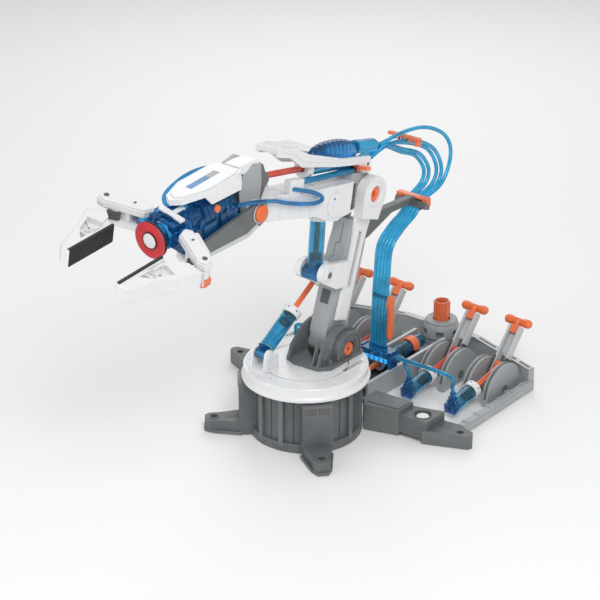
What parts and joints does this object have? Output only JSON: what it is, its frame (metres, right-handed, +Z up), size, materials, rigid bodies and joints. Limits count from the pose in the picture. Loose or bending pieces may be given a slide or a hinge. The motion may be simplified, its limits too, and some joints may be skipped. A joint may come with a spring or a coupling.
{
  "type": "hydraulic arm kit",
  "caption": "Toy hydraulic arm: turntable drum, jointed arm with clear water cylinders, two-jaw gripper with suction cup, and a lever console.",
  "frame": {"origin": "where the turntable axis meets the floor", "axes": "+Z up, +X the way the arm reaches, +Y the arm's left side, where lever 4 is; the console is on the -X side"},
  "size_m": [0.5258, 0.302, 0.3039],
  "materials": {
    "black_rubber": "ribbed black pad",
    "clear_blue": "transparent blue",
    "dark_plastic": "fine moulded texture, dark grey",
    "grey_plastic": "satin light grey",
    "hose_blue": "clear blue hose",
    "orange_plastic": "satin orange",
    "red_plastic": "red-orange",
    "red_rubber": "red suction rubber",
    "white_plastic": "glossy white"
  },
  "bodies": {
    "base": {"base_drum": "dark_plastic", "console_front_left": "dark_plastic", "console_side_left": "grey_plastic", "console_front_right": "dark_plastic", "console_side_right": "grey_plastic", "centre_rails": "grey_plastic", "knob_housing": "dark_plastic", "hose_manifold": "hose_blue", "turn_cylinder": "clear_blue", "lever_cylinder_1": "clear_blue", "lever_cylinder_2": "clear_blue", "lever_cylinder_3": "clear_blue", "lever_cylinder_4": "clear_blue", "hoses_base": "hose_blue"},
    "turn_rack_body": {"turn_rack": "orange_plastic"},
    "knob_body": {"drive_knob": "orange_plastic"},
    "turntable_body": {"turntable": "white_plastic", "shoulder_bracket": "dark_plastic", "shoulder_pin": "orange_plastic", "hoses_shoulder": "hose_blue"},
    "shoulder_barrel": {"shoulder_cylinder": "clear_blue"},
    "shoulder_piston": {"shoulder_rod": "orange_plastic"},
    "lower_arm_body": {"lower_arm": "grey_plastic", "lower_cover_near": "white_plastic", "lower_cover_far": "white_plastic", "front_bracket": "white_plastic", "hose_bracket": "dark_plastic", "hoses_elbow": "hose_blue"},
    "elbow_barrel": {"elbow_cylinder": "clear_blue"},
    "elbow_piston": {"elbow_rod": "orange_plastic"},
    "forearm_body": {"forearm": "white_plastic", "elbow_block": "grey_plastic", "elbow_pin": "orange_plastic", "top_beam": "white_plastic", "wrist_cylinder": "clear_blue"},
    "wrist_piston": {"wrist_rod": "red_plastic"},
    "wrist_body": {"wrist_carrier": "dark_plastic", "wrist_pin": "orange_plastic", "rotation_housing": "clear_blue", "wrist_cover": "white_plastic"},
    "hand": {"hand_body": "clear_blue", "suction_cup": "red_rubber"},
    "finger_near": {"finger_link_near": "white_plastic"},
    "finger_far": {"finger_link_far": "white_plastic"},
    "grip_near": {"jaw_near": "white_plastic", "jaw_pad_near": "black_rubber"},
    "grip_far": {"jaw_far": "white_plastic", "jaw_pad_far": "black_rubber"},
    "lever_body_1": {"lever_1": "grey_plastic", "lever_grip_1": "orange_plastic"},
    "lever_piston_1": {"lever_rod_1": "orange_plastic"},
    "lever_body_2": {"lever_2": "grey_plastic", "lever_grip_2": "orange_plastic"},
    "lever_piston_2": {"lever_rod_2": "orange_plastic"},
    "lever_body_3": {"lever_3": "grey_plastic", "lever_grip_3": "orange_plastic"},
    "lever_piston_3": {"lever_rod_3": "orange_plastic"},
    "lever_body_4": {"lever_4": "grey_plastic", "lever_grip_4": "orange_plastic"},
    "lever_piston_4": {"lever_rod_4": "orange_plastic"}
  },
  "joints": [
    {"name": "base_turn", "type": "hinge", "parent": "base", "child": "turntable_body", "pos_m": [0, 0, 0.066], "axis": [0, 0, 1], "range_deg": [-135, 135], "deforming": ["hoses_base"]},
    {"name": "rack_slide", "type": "slide", "parent": "base", "child": "turn_rack_body", "axis": [1, 0, 0], "range_m": [-0.0215, 0.0215]},
    {"name": "knob_turn", "type": "hinge", "parent": "base", "child": "knob_body", "pos_m": [-0.226, 0, 0.04], "axis": [0, 0, 1], "range_deg": [-140, 140]},
    {"name": "shoulder_tilt", "type": "hinge", "parent": "turntable_body", "child": "lower_arm_body", "pos_m": [-0.03, 0, 0.081], "axis": [0, 1, 0], "range_deg": [-10, 35], "deforming": ["hoses_shoulder"]},
    {"name": "shoulder_cylinder_tilt", "type": "hinge", "parent": "turntable_body", "child": "shoulder_barrel", "pos_m": [0.036, -0.024, 0.085], "axis": [0, 1, 0], "range_deg": [-5, 15]},
    {"name": "shoulder_rod_slide", "type": "slide", "parent": "shoulder_barrel", "child": "shoulder_piston", "axis": [-0.848, 0, 0.53], "range_m": [-0.028, 0.009]},
    {"name": "elbow_tilt", "type": "hinge", "parent": "lower_arm_body", "child": "forearm_body", "pos_m": [-0.079, 0, 0.223], "axis": [0, -1, 0], "range_deg": [-5, 38], "deforming": ["hoses_elbow"]},
    {"name": "elbow_cylinder_tilt", "type": "hinge", "parent": "lower_arm_body", "child": "elbow_barrel", "pos_m": [-0.013, 0, 0.161], "axis": [0, 1, 0], "range_deg": [-8, 2]},
    {"name": "elbow_rod_slide", "type": "slide", "parent": "elbow_barrel", "child": "elbow_piston", "axis": [-0.0981, 0, 0.9952], "range_m": [-0.006, 0.038]},
    {"name": "wrist_tilt", "type": "hinge", "parent": "forearm_body", "child": "wrist_body", "pos_m": [0.089, 0, 0.257], "axis": [0, 1, 0], "range_deg": [-20, 78]},
    {"name": "wrist_rod_slide", "type": "slide", "parent": "forearm_body", "child": "wrist_piston", "axis": [0.9858, 0, 0.1679], "range_m": [-0.011, 0.038]},
    {"name": "hand_roll", "type": "hinge", "parent": "wrist_body", "child": "hand", "pos_m": [0.17065, 0, 0.26853], "axis": [0.9945, 0, -0.1045], "range_deg": [-74, 106]},
    {"name": "grip_close", "type": "hinge", "parent": "hand", "child": "finger_near", "pos_m": [0.18786, 0.02307, 0.26007], "axis": [-0.1005, -0.2756, -0.956], "range_deg": [0, 52]},
    {"name": "finger_far_swing", "type": "hinge", "parent": "hand", "child": "finger_far", "pos_m": [0.18924, -0.02307, 0.27323], "axis": [0.1005, 0.2756, 0.956], "range_deg": [-1, 53]},
    {"name": "jaw_near_swing", "type": "hinge", "parent": "finger_near", "child": "grip_near", "pos_m": [0.20216, 0.05383, 0.2497], "axis": [0.1005, 0.2756, 0.956], "range_deg": [-1, 53]},
    {"name": "jaw_far_swing", "type": "hinge", "parent": "finger_far", "child": "grip_far", "pos_m": [0.20538, -0.05383, 0.2804], "axis": [-0.1005, -0.2756, -0.956], "range_deg": [-1, 53]},
    {"name": "lever_1_swing", "type": "hinge", "parent": "base", "child": "lever_body_1", "pos_m": [-0.172, -0.1, 0.008], "axis": [0, 1, 0], "range_deg": [-13, 43]},
    {"name": "lever_rod_1_slide", "type": "slide", "parent": "base", "child": "lever_piston_1", "axis": [-0.987, 0, 0.1605], "range_m": [-0.0155, 0.006]},
    {"name": "lever_2_swing", "type": "hinge", "parent": "base", "child": "lever_body_2", "pos_m": [-0.172, -0.047, 0.008], "axis": [0, 1, 0], "range_deg": [-6, 39]},
    {"name": "lever_rod_2_slide", "type": "slide", "parent": "base", "child": "lever_piston_2", "axis": [-0.987, 0, 0.1605], "range_m": [-0.0155, 0.006]},
    {"name": "lever_3_swing", "type": "hinge", "parent": "base", "child": "lever_body_3", "pos_m": [-0.172, 0.047, 0.008], "axis": [0, 1, 0], "range_deg": [-11, 40]},
    {"name": "lever_rod_3_slide", "type": "slide", "parent": "base", "child": "lever_piston_3", "axis": [-0.987, 0, 0.1605], "range_m": [-0.0155, 0.006]},
    {"name": "lever_4_swing", "type": "hinge", "parent": "base", "child": "lever_body_4", "pos_m": [-0.172, 0.1, 0.008], "axis": [0, 1, 0], "range_deg": [-1, 40]},
    {"name": "lever_rod_4_slide", "type": "slide", "parent": "base", "child": "lever_piston_4", "axis": [-0.987, 0, 0.1605], "range_m": [-0.0155, 0.006]}
  ],
  "couplings": [
    {"joint": "rack_slide", "follows": "base_turn", "m_per_rad": 0.009},
    {"joint": "knob_turn", "follows": "base_turn", "ratio": 1},
    {"joint": "shoulder_cylinder_tilt", "follows": "shoulder_tilt", "ratio": 0.38},
    {"joint": "shoulder_rod_slide", "follows": "shoulder_tilt", "m_per_rad": -0.0435},
    {"joint": "elbow_cylinder_tilt", "follows": "elbow_tilt", "ratio": -0.19},
    {"joint": "elbow_rod_slide", "follows": "elbow_tilt", "m_per_rad": 0.0555},
    {"joint": "wrist_rod_slide", "follows": "wrist_tilt", "m_per_rad": 0.0272},
    {"joint": "finger_far_swing", "follows": "grip_close", "ratio": 1},
    {"joint": "jaw_near_swing", "follows": "grip_close", "ratio": 1},
    {"joint": "jaw_far_swing", "follows": "grip_close", "ratio": 1},
    {"joint": "lever_1_swing", "follows": "shoulder_tilt", "ratio": 1.2},
    {"joint": "lever_rod_1_slide", "follows": "shoulder_tilt", "m_per_rad": -0.0228},
    {"joint": "lever_2_swing", "follows": "elbow_tilt", "ratio": 1},
    {"joint": "lever_rod_2_slide", "follows": "elbow_tilt", "m_per_rad": -0.019},
    {"joint": "lever_3_swing", "follows": "wrist_tilt", "ratio": 0.5},
    {"joint": "lever_rod_3_slide", "follows": "wrist_tilt", "m_per_rad": -0.0095},
    {"joint": "lever_4_swing", "follows": "grip_close", "ratio": 0.75},
    {"joint": "lever_rod_4_slide", "follows": "grip_close", "m_per_rad": -0.01425}
  ]
}
